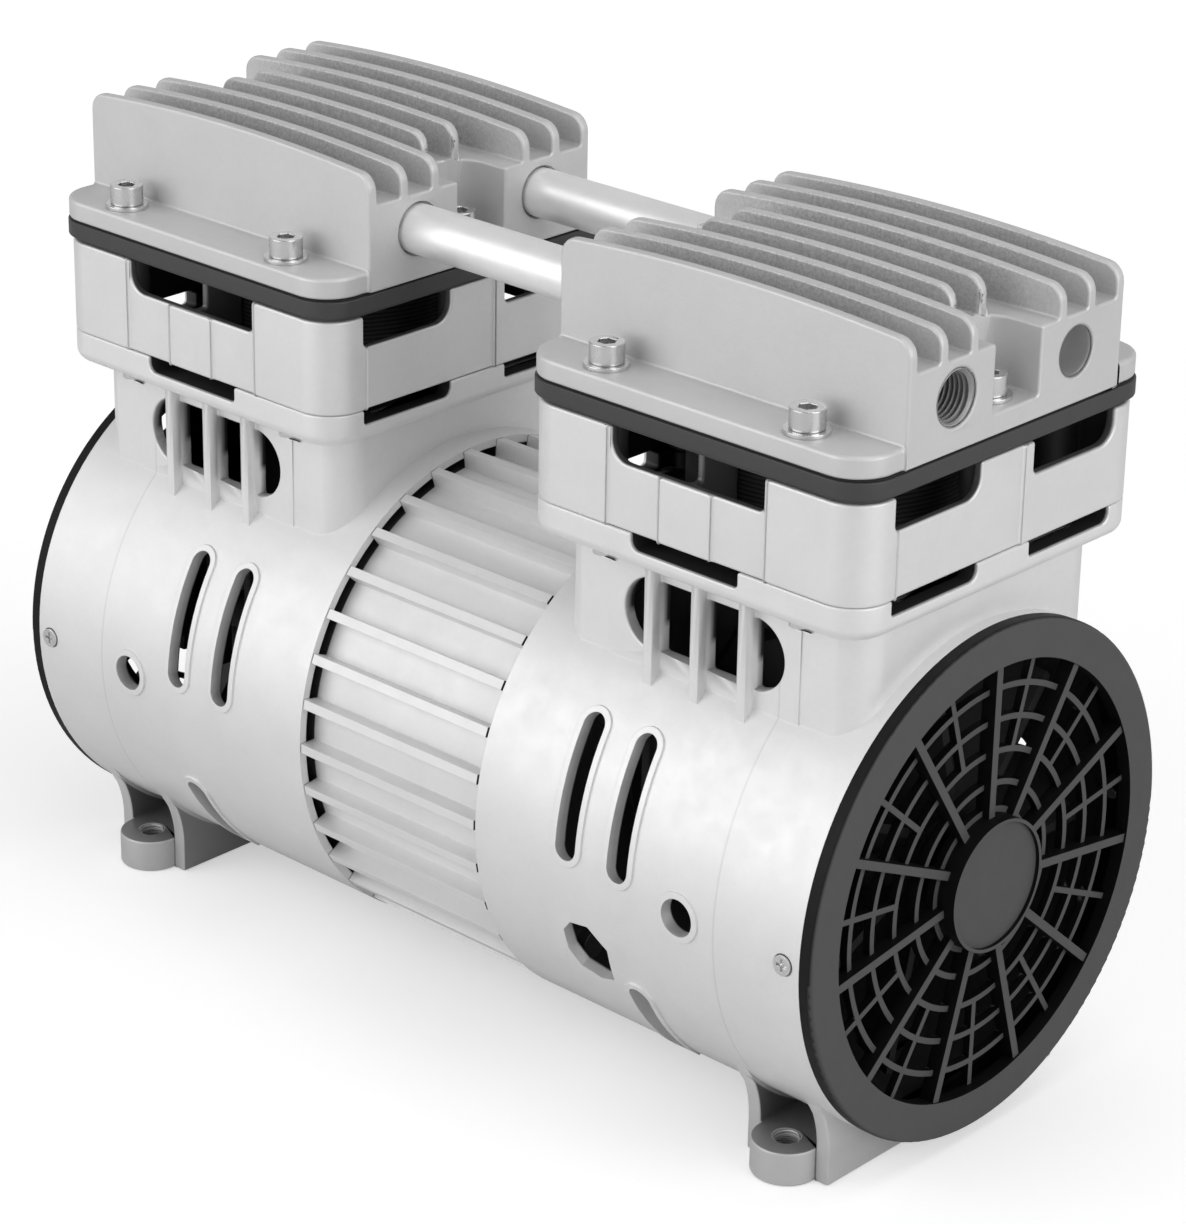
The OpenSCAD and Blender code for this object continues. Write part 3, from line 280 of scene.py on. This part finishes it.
def foot_shade(tree, place):
    """The feet: painted shade on their faces, darker towards the bottom, in their holes, in the pockets
    between their webs, and on the side towards the motor.
    """
    x, y, z = axes(tree, place)
    along = maths(tree, "ABSOLUTE", x)
    across = maths(tree, "ABSOLUTE", y)
    face = remap(tree, z, FOOT_FACE_Z, (FOOT_SHADE, 0))
    from_hole = distance(tree, maths(tree, "SUBTRACT", along, FOOT_X),
                         maths(tree, "SUBTRACT", across, FOOT_Y))
    hole = product(tree, remap(tree, from_hole, FOOT_HOLE_R, (1, 0)),
                   remap(tree, z, FOOT_HOLE_Z, FOOT_HOLE_SHADE), below(tree, z, FOOT_HOLE_TOP))
    pocket = product(tree, between(tree, along, POCKET_X, POCKET_BLEND),
                     remap(tree, across, POCKET_Y, POCKET_SHADE), above(tree, z, POCKET_BOTTOM))
    inner = product(tree, below(tree, along, WEB_INNER_X), WEB_INNER_SHADE)
    outside = remap(tree, shaft_distance(tree, place), (CASE_SKIN_R[1], CASE_SKIN_R[1] + UNDER_CASE), (0, 1))
    webs = product(tree, largest(tree, pocket, inner), outside, remap(tree, z, FOOT_TOP_Z, (1, 0)))
    return largest(tree, face, hole, webs)


def case_shade(tree, place):
    """A crankcase: painted shade in its chamber, the step in its rim, its neck, flange recess and feet, and
    a faint dark seam.
    """
    x, _, z = axes(tree, place)
    along = maths(tree, "ABSOLUTE", x)
    out = shaft_distance(tree, place)
    chamber = remap(tree, out, CASE_INNER_R, (1, 0))
    rim = product(tree, remap(tree, along, CASE_RIM_X, (0, 1)), below(tree, along, CASE_RIM_END_X),
                  below(tree, out, CASE_RIM_R))
    neck = product(tree, remap(tree, outline_depth(tree, place, NECK_HALF), NECK_DEPTH, (0, 1)),
                   remap(tree, z, (NECK_BOTTOM, NECK_BOTTOM + NECK_BLEND), (0, 1)))
    recess = product(tree, jacket_shade(tree, place), above(tree, z, DECK_Z))
    seam = product(tree, between(tree, along, SEAM_X, SEAM_BLEND), below(tree, z, NECK_BOTTOM),
                   SEAM_SHADE)
    return largest(tree, chamber, rim, neck, recess, seam, foot_shade(tree, place))


def barrel_shade(tree, place):
    """Painted shade in the barrel's inside, at its ends in the crankcases' rims, and in the notches of its
    ribs.
    """
    x = axes(tree, place)[0]
    out = shaft_distance(tree, place)
    ends = remap(tree, maths(tree, "ABSOLUTE", x), BARREL_END_X, (0, 1))
    notch = product(tree, above(tree, x, RIB_NOTCH_X), above(tree, out, RIB_NOTCH_R))
    return largest(tree, ends, notch, below(tree, out, BARREL_INNER_R))


def head_shade(tree, place):
    """A head: painted shade, mottled, on the inner faces of its fins, and painted shade in the bores of its
    ports.
    """
    x, y, z = axes(tree, place)
    across = maths(tree, "ABSOLUTE", y)
    facing = maths(tree, "ABSOLUTE", axes(tree, surface_normal(tree))[1])
    painted_fin_shade = product(tree, remap(tree, noise(tree, place, PAINTED_FIN_SHADE_SIZE, *PAINTED_FIN_SHADE_DETAIL), PAINTED_FIN_SHADE_SPREAD, PAINTED_FIN_SHADE),
                   remap(tree, cylinder_distance(tree, x), FIN_ENDS, (1, PAINTED_FIN_SHADE_END_SHARE)),
                   remap(tree, facing, PAINTED_FIN_SHADE_FACING, (0, 1)), above(tree, z, BLOCK_TOP),
                   below(tree, across, FIN_FIELD))
    from_port = distance(tree, maths(tree, "SUBTRACT", across, PORT_Y), maths(tree, "SUBTRACT", z, PORT_Z))
    threaded = below(tree, maths(tree, "MULTIPLY", x, y), 0.0)
    bore = product(tree, remap(tree, from_port, PORT_WALL_R, (1, 0)),
                   remap(tree, threaded, (0, 1), (PLAIN_PORT_SHADE, THREADED_PORT_SHADE)))
    return largest(tree, painted_fin_shade, bore)


# Finishes

PATCH_DETAIL = (5.0, 0.6)
SPECK_DETAIL = (4.0, 0.7)
SPECK_SIZE = 1.6 * MM
SPECK_SHARE = 0.4
TONE_SPREAD = (0.25, 0.75)
GLOSS_DETAIL = (4.0, 0.6)
GLOSS_SPREAD = (0.3, 0.7)
GRAIN_DETAIL = (3.0, 0.65)
STREAK_DETAIL = (2.0, 0.5)
STREAK_WIDTH = 0.35 * MM
STREAK_LENGTH = 12 * MM
RING_BLEND = (-0.4, 0.4)
RING_SHARE = 0.35
WEAR_AND_HIGHLIGHT_RADIUS = 0.3 * MM
WEAR_AND_HIGHLIGHT_TURN = (0.995, 0.8)
SOFT_RADIUS = 0.25 * MM
BEVEL_SAMPLES = 4
SIDE_SHADE_FACING = (0.35, 0.9)


def uneven_tone(tree, place, colour, swing, patch):
    """The colour, a little darker and lighter in patches and in specks."""
    patches = noise(tree, place, patch, *PATCH_DETAIL)
    specks = noise(tree, place, SPECK_SIZE, *SPECK_DETAIL)
    cloud = remap(tree, mix(tree, SPECK_SHARE, patches, specks), TONE_SPREAD, (0, 1))
    return mix_colour(tree, cloud, scaled(colour, 1 - swing), scaled(colour, 1 + swing))


def ring_share(tree, place, pitch):
    """Rises and falls between 0 and 1 up the Z axis, once in a pitch."""
    turn = maths(tree, "MULTIPLY", axes(tree, place)[2], 2 * math.pi / pitch)
    return remap(tree, maths(tree, "SINE", turn), RING_BLEND, (0, 1))


def edge_share(tree):
    """Where painted highlights and wear go on edges: 1 at a convex or concave edge, 0 on flat and smooth
    surface.
    """
    soft = add(tree, "ShaderNodeBevel", {"Radius": WEAR_AND_HIGHLIGHT_RADIUS}, samples=BEVEL_SAMPLES).outputs[0]
    turn = add(tree, "ShaderNodeVectorMath", {0: soft, 1: surface_normal(tree)}, operation="DOT_PRODUCT")
    return remap(tree, turn.outputs["Value"], WEAR_AND_HIGHLIGHT_TURN, (0, 1))


def side_shade(tree):
    """Painted shade on sides: 0 where the surface faces along the shaft, 1 where it faces across it."""
    along = maths(tree, "ABSOLUTE", axes(tree, surface_normal(tree))[0])
    return remap(tree, along, SIDE_SHADE_FACING, (1, 0))


def grain_height(tree, place, size, streaks):
    """Specks of a size, or marks along the axis that streaks gives."""
    if streaks is None:
        return noise(tree, place, size, *GRAIN_DETAIL)
    stretch = [1 / STREAK_WIDTH] * 3
    stretch[streaks] = 1 / STREAK_LENGTH
    lines = add(tree, "ShaderNodeMapping", {"Vector": place, "Scale": stretch}).outputs[0]
    return noise(tree, lines, 1.0, *STREAK_DETAIL)


def make_finish(name, colour, metal, rough, *, grain=0.0, grain_size=0.5 * MM, streaks=None, rings=None,
                wear_and_highlight=None, wear_and_highlight_share=0.3, shade=None, shade_share=0.06, side_shade_share=None,
                swing=0.04, rough_swing=0.06, patch=18 * MM, specular=0.5):
    """A surface with uneven tone and gloss, softened edges and a fine grain, with painted shade and painted
    edge highlights where asked.

    grain is the depth of the grain. streaks is the axis, 0 to 2, along which machining marks run,
    and rings is the pitch of turning marks up a cylinder. wear_and_highlight is the colour of edges
    painted lighter, as wear and as a painted highlight. shade_share is the share of colour left
    where the painted shade from shade() gives 1, and side_shade_share the share left by painted
    shade where the surface doesn't face along the shaft.
    """
    material = bpy.data.materials.new(name)
    material.use_nodes = True
    tree = material.node_tree
    shader = tree.nodes["Principled BSDF"]
    place = add(tree, "ShaderNodeTexCoord").outputs["Object"]
    tone = uneven_tone(tree, place, colour, swing, patch)
    if rings:
        tone = mix_colour(tree, ring_share(tree, place, rings), scaled(colour, RING_SHARE), tone)
    # Painted highlights with wear: edges, convex and concave alike, made lighter
    if wear_and_highlight:
        tone = mix_colour(tree, maths(tree, "MULTIPLY", edge_share(tree), wear_and_highlight_share), tone, wear_and_highlight)
    # Painted shade in hollows, gaps and undersides, from shade()
    if shade:
        tone = mix_colour(tree, shade(tree, place), tone, scaled(colour, shade_share))
    # Painted shade on faces turned across the shaft
    if side_shade_share:
        tone = mix_colour(tree, side_shade(tree), tone, scaled(colour, side_shade_share))
    gloss = remap(tree, noise(tree, place, patch / 3, *GLOSS_DETAIL), GLOSS_SPREAD,
                  (rough - rough_swing, rough + rough_swing))
    normal = add(tree, "ShaderNodeBevel", {"Radius": SOFT_RADIUS}, samples=BEVEL_SAMPLES).outputs[0]
    if grain:
        normal = add(tree, "ShaderNodeBump", {
            "Strength": 1.0, "Distance": grain, "Height": grain_height(tree, place, grain_size, streaks),
            "Normal": normal,
        }).outputs[0]
    tree.links.new(tone, shader.inputs["Base Color"])
    tree.links.new(gloss, shader.inputs["Roughness"])
    tree.links.new(normal, shader.inputs["Normal"])
    shader.inputs["Metallic"].default_value = metal
    shader.inputs["Specular IOR Level"].default_value = specular
    return material


PALE = grey(0.86)
COPPER = (0.30, 0.10, 0.045, 1)
CUP_BROWN = (0.10, 0.075, 0.05, 1)

# What make_finish is given for each material slot
LOOKS = {
    "die_cast": dict(colour=grey(0.80), metal=0.55, rough=0.52, grain=0.012 * MM, grain_size=0.9 * MM,
                     wear_and_highlight=PALE, shade=case_shade),
    "jacket_cast": dict(colour=grey(0.78), metal=0.6, rough=0.5, grain=0.010 * MM, grain_size=1.2 * MM,
                        wear_and_highlight=PALE, wear_and_highlight_share=0.15, shade=jacket_shade, shade_share=0.22),
    "barrel_cast": dict(colour=grey(0.78), metal=0.5, rough=0.56, grain=0.010 * MM, streaks=0,
                        wear_and_highlight=PALE, shade=barrel_shade),
    "head_cast": dict(colour=grey(0.65), metal=0.55, rough=0.52, grain=0.05 * MM, grain_size=0.45 * MM,
                      wear_and_highlight=grey(0.85), wear_and_highlight_share=0.6, shade=head_shade, shade_share=0.25),
    "laminations": dict(colour=grey(0.12), metal=0.8, rough=0.5, grain=0.03 * MM, streaks=1),
    "copper": dict(colour=COPPER, metal=0.8, rough=0.4, grain=0.08 * MM, streaks=0),
    "rotor_cast": dict(colour=grey(0.4), metal=0.8, rough=0.45, grain=0.03 * MM),
    "steel": dict(colour=grey(0.4), metal=1.0, rough=0.3, grain=0.006 * MM, streaks=1),
    "bearing_steel": dict(colour=grey(0.5), metal=1.0, rough=0.2),
    "black_steel": dict(colour=grey(0.03), metal=0.6, rough=0.4, grain=0.01 * MM),
    "eccentric_iron": dict(colour=grey(0.08), metal=0.6, rough=0.55, grain=0.03 * MM),
    "rod_cast": dict(colour=grey(0.25), metal=0.7, rough=0.5, grain=0.03 * MM),
    "cup": dict(colour=CUP_BROWN, metal=0.0, rough=0.45, grain=0.01 * MM),
    "retainer": dict(colour=grey(0.4), metal=0.9, rough=0.35, grain=0.01 * MM, streaks=0),
    "liner": dict(colour=grey(0.07), metal=0.5, rough=0.5, grain=0.01 * MM, rings=1.1 * MM),
    "seal": dict(colour=grey(0.02), metal=0.0, rough=0.6, grain=0.01 * MM),
    "gasket": dict(colour=grey(0.01), metal=0.0, rough=0.8, grain=0.02 * MM),
    "valve_plate": dict(colour=grey(0.055), metal=0.3, rough=0.5, grain=0.02 * MM, grain_size=0.4 * MM,
                        wear_and_highlight=grey(0.12)),
    "reed": dict(colour=grey(0.6), metal=1.0, rough=0.25, grain=0.005 * MM, streaks=1),
    "screw": dict(colour=grey(0.70), metal=1.0, rough=0.25, grain=0.006 * MM, wear_and_highlight=grey(0.95)),
    "tube": dict(colour=grey(0.95), metal=0.6, rough=0.42, grain=0.004 * MM, streaks=0),
    "fan": dict(colour=grey(0.005), metal=0.0, rough=0.6, grain=0.01 * MM),
    "guard": dict(colour=grey(0.077), metal=0.0, rough=0.55, grain=0.02 * MM, grain_size=0.3 * MM,
                  swing=0.02, side_shade_share=0.04, specular=0.2),
}


# Pieces

# Width of the rounded edges of each shown casting and fastener
EDGE_WIDTHS = {
    "crankcase_": 0.5 * MM,
    "cylinder_jacket_": 0.7 * MM,
    "cylinder_head_": 0.7 * MM,
    "valve_plate_": 0.3 * MM,
    "head_screws_": 0.25 * MM,
    "head_washers_": 0.15 * MM,
}
WELD = 2e-6
FLAT_ANGLE = math.radians(0.4)
SHARP_ANGLE = math.radians(30)

# Half widths of a thread ridge, as shares of the pitch, and how far it reaches into the wall
RIDGE_ROOT = 0.48
RIDGE_CREST = 0.08
RIDGE_BURIED = 0.1 * MM


def new_object(name, mesh, body, slot):
    thing = bpy.data.objects.new(name, mesh)
    bpy.context.scene.collection.objects.link(thing)
    mesh.materials.clear()
    mesh.materials.append(finishes[slot])
    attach(thing, body)
    return thing


def on_skin(corner):
    """Whether a corner lies on the round crankcase's outer skin, where webs and beads run out."""
    return CASE_SKIN_R[0] < math.hypot(corner.co.y, corner.co.z - SHAFT_Z) < CASE_SKIN_R[1]


def refine(node, width):
    """Stands for a CAD node: the same shape with its edges rounded, except those that touch the skin."""
    source = frame["nodes"][node]
    build = bmesh.new()
    build.from_mesh(source.data)
    bmesh.ops.remove_doubles(build, verts=build.verts, dist=WELD)
    bmesh.ops.dissolve_limit(build, angle_limit=FLAT_ANGLE, verts=build.verts, edges=build.edges)
    weight = build.edges.layers.float.new("bevel_weight_edge")
    for edge in build.edges:
        sharp = len(edge.link_faces) == 2 and edge.calc_face_angle(0) > SHARP_ANGLE
        kept = any(on_skin(corner) for corner in edge.verts)
        edge[weight] = float(sharp and not kept)
        edge.smooth = not (sharp and kept)
    mesh = bpy.data.meshes.new(node + ".dressed")
    build.to_mesh(mesh)
    build.free()
    mesh.shade_smooth()
    thing = new_object(node + ".dressed", mesh, source["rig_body"], slot_of[node])
    bevel = thing.modifiers.new("edges", "BEVEL")
    bevel.width = width
    bevel.segments = 2
    bevel.limit_method = "WEIGHT"
    bevel.use_clamp_overlap = False
    bevel.miter_outer = "MITER_ARC"
    thing.modifiers.new("normals", "WEIGHTED_NORMAL").keep_sharp = True
    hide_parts(node)


def make_thread(name, slot, mouth, axis, *, root, crest, pitch, turns, steps):
    """Internal thread ridges along a helix that starts at the mouth and goes inwards.

    root and crest are radii, and steps is the number of steps in a turn.
    """
    axis = Vector(axis)
    across = axis.orthogonal().normalized()
    beside = axis.cross(across)
    wall = root + RIDGE_BURIED
    build = bmesh.new()
    rows = []
    total = int(turns * steps)
    for i in range(total + 1):
        turn = 2 * math.pi * i / steps
        grown = min(1, i / steps, (total - i) / steps)
        out = across * math.cos(turn) + beside * math.sin(turn)
        foot = Vector(mouth) - axis * (pitch * i / steps)
        tip = root - (root - crest) * grown
        profile = ((RIDGE_ROOT, wall), (RIDGE_CREST, tip), (-RIDGE_CREST, tip), (-RIDGE_ROOT, wall))
        rows.append([build.verts.new(foot + axis * (share * pitch) + out * radius)
                     for share, radius in profile])
    for a, b in zip(rows, rows[1:]):
        for k in range(3):
            build.faces.new((a[k], b[k], b[k + 1], a[k + 1]))
        build.faces.new((a[3], b[3], b[0], a[0]))
    build.faces.new(rows[0])
    build.faces.new(rows[-1])
    bmesh.ops.recalc_face_normals(build, faces=build.faces)
    mesh = bpy.data.meshes.new(name)
    build.to_mesh(mesh)
    build.free()
    new_object(name, mesh, PUMP, slot)


def make_port_thread(name, end):
    """The thread of a head's port. end is 1 for the right-hand head, and -1 for the left-hand one."""
    make_thread(name, "head_cast", (end * PORT_X, -end * PORT_Y, PORT_Z), (end, 0, 0),
                root=6.58 * MM, crest=5.72 * MM, pitch=1.337 * MM, turns=9.5, steps=40)


def make_foot_thread(name, end, side):
    """The thread of a foot's hole. end and side are the signs of its X and Y."""
    make_thread(name, "die_cast", (end * FOOT_X, side * FOOT_Y, 8.4 * MM), (0, 0, 1),
                root=3 * MM, crest=2.5 * MM, pitch=1 * MM, turns=7.8, steps=24)


# Stage

FLOOR_SIZE = 6.0
FLOOR_DROP = 0.2 * MM
FLOOR_COLOUR = 0.70
FLOOR_ROUGH = 0.9
FLOOR_SPECULAR = 0.1
FLOOR_GLOW = (0.45, 1.0)
FLOOR_GLOW_REACH = (0.5, 2.5)
WORLD_HEIGHT = (0.1, 0.95)
WORLD_LIGHT = (0.60, 0.36)
WORLD_GLOSS = 0.9
LAMP_AIM = (0, 0, 0.1)


def make_world():
    """A white studio: paler towards the horizon than overhead, and plain white where it is seen."""
    world = bpy.data.worlds.new("studio")
    bpy.context.scene.world = world
    world.use_nodes = True
    tree = world.node_tree
    path = add(tree, "ShaderNodeLightPath")
    place = add(tree, "ShaderNodeTexCoord").outputs["Generated"]
    sky = remap(tree, axes(tree, place)[2], WORLD_HEIGHT, WORLD_LIGHT)
    gloss = remap(tree, path.outputs["Is Glossy Ray"], (0, 1), (1, WORLD_GLOSS))
    seen = maths(tree, "MAXIMUM", path.outputs["Is Camera Ray"], path.outputs["Is Transmission Ray"])
    strength = mix(tree, seen, maths(tree, "MULTIPLY", sky, gloss), 1.0)
    tree.nodes["Background"].inputs["Color"].default_value = grey(1)
    tree.links.new(strength, tree.nodes["Background"].inputs["Strength"])


def make_floor():
    """A pale floor that shows white and keeps the shadow."""
    bpy.ops.mesh.primitive_plane_add(size=FLOOR_SIZE, location=(0, 0, -FLOOR_DROP))
    floor = bpy.context.object
    floor.name = "floor"
    material = bpy.data.materials.new("floor")
    material.use_nodes = True
    tree = material.node_tree
    shader = tree.nodes["Principled BSDF"]
    seen = add(tree, "ShaderNodeLightPath").outputs["Is Camera Ray"]
    place = add(tree, "ShaderNodeTexCoord").outputs["Object"]
    far = add(tree, "ShaderNodeVectorMath", {0: place}, operation="LENGTH").outputs["Value"]
    glow = maths(tree, "MULTIPLY", seen, remap(tree, far, FLOOR_GLOW_REACH, FLOOR_GLOW))
    shader.inputs["Base Color"].default_value = grey(FLOOR_COLOUR)
    shader.inputs["Roughness"].default_value = FLOOR_ROUGH
    shader.inputs["Specular IOR Level"].default_value = FLOOR_SPECULAR
    shader.inputs["Emission Color"].default_value = grey(1)
    tree.links.new(glow, shader.inputs["Emission Strength"])
    floor.data.materials.append(material)


def make_lamp(name, place, size, watts):
    data = bpy.data.lights.new(name, "AREA")
    data.shape = "RECTANGLE"
    data.size, data.size_y = size
    data.energy = watts
    lamp = bpy.data.objects.new(name, data)
    lamp.location = place
    lamp.rotation_euler = (Vector(LAMP_AIM) - Vector(place)).to_track_quat("-Z", "Y").to_euler()
    bpy.context.scene.collection.objects.link(lamp)


make_camera()
make_world()
make_floor()
make_lamp("key", (-0.7, -1.7, 0.85), (2.2, 1.8), 19)
make_lamp("top", (0.3, 0.3, 1.9), (1.4, 1.0), 7)
make_lamp("side", (1.8, 0.1, 0.8), (1.6, 1.6), 15.5)

finishes = {name: make_finish(name, **look) for name, look in LOOKS.items()}
slot_of = {part["node"]: part["material_slot"] for part in frame["record"]["subparts"]}
for node, thing in frame["nodes"].items():
    thing.data.materials.clear()
    thing.data.materials.append(finishes[slot_of[node]])

for side in SIDES:
    for start, width in EDGE_WIDTHS.items():
        refine(start + side, width)

make_port_thread("delivery_thread", 1)
make_port_thread("intake_thread", -1)
for i, signs in enumerate(((1, -1), (1, 1), (-1, -1), (-1, 1))):
    make_foot_thread("foot_thread_%d" % i, *signs)

bpy.context.scene.view_settings.view_transform = "Standard"
